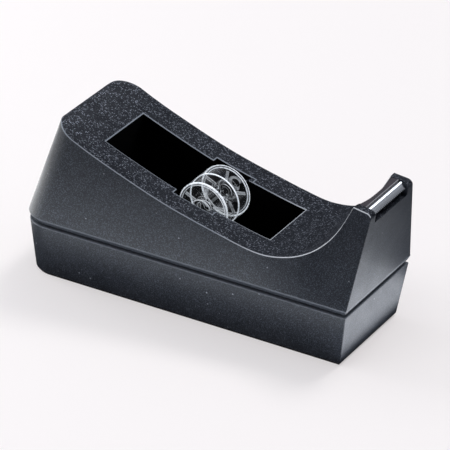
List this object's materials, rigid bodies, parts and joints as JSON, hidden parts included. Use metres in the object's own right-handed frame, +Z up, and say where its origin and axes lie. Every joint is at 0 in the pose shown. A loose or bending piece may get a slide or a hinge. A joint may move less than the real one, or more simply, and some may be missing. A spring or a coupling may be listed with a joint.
{
  "type": "tape dispenser",
  "caption": "Weighted desktop tape dispenser: scooped black housing on a tapered base, toothed steel cutting edge, clear hub that spins and lifts out.",
  "frame": {"origin": "middle of the whole object's footprint, on the surface it stands on", "axes": "+X towards the cutting edge, +Y along the hub's axis, +Z up"},
  "size_m": [0.173, 0.0588, 0.0795],
  "materials": {
    "housing_plastic": "fine spark-eroded grain, satin",
    "base_plastic": "fine grain, satin",
    "polished_plastic": "smooth polished strip",
    "clear_plastic": "clear moulded",
    "blade_steel": "bright stamped stainless strip",
    "screw_steel": "zinc plated",
    "ballast_iron": "as cast",
    "pad_foam": "matte foam rubber"
  },
  "bodies": {
    "housing": {"upper_housing": "housing_plastic", "base_housing": "base_plastic", "bottom_plate": "base_plastic", "non_slip_pad": "pad_foam", "ballast_front": "ballast_iron", "ballast_rear": "ballast_iron", "housing_screws": "screw_steel", "ballast_screws": "screw_steel", "blade_carrier": "polished_plastic", "cutter_blade": "blade_steel"},
    "axle": {"hub_axle": "clear_plastic"},
    "hub": {"hub_drum_left": "clear_plastic", "hub_drum_right": "clear_plastic"}
  },
  "joints": [
    {"name": "hub_lift", "type": "slide", "parent": "housing", "child": "axle", "axis": [0, 0, 1], "range_m": [0, 0.045]},
    {"name": "hub_spin", "type": "hinge", "parent": "axle", "child": "hub", "pos_m": [-0.00132, 0, 0.0477], "axis": [0, 1, 0], "continuous": true}
  ]
}
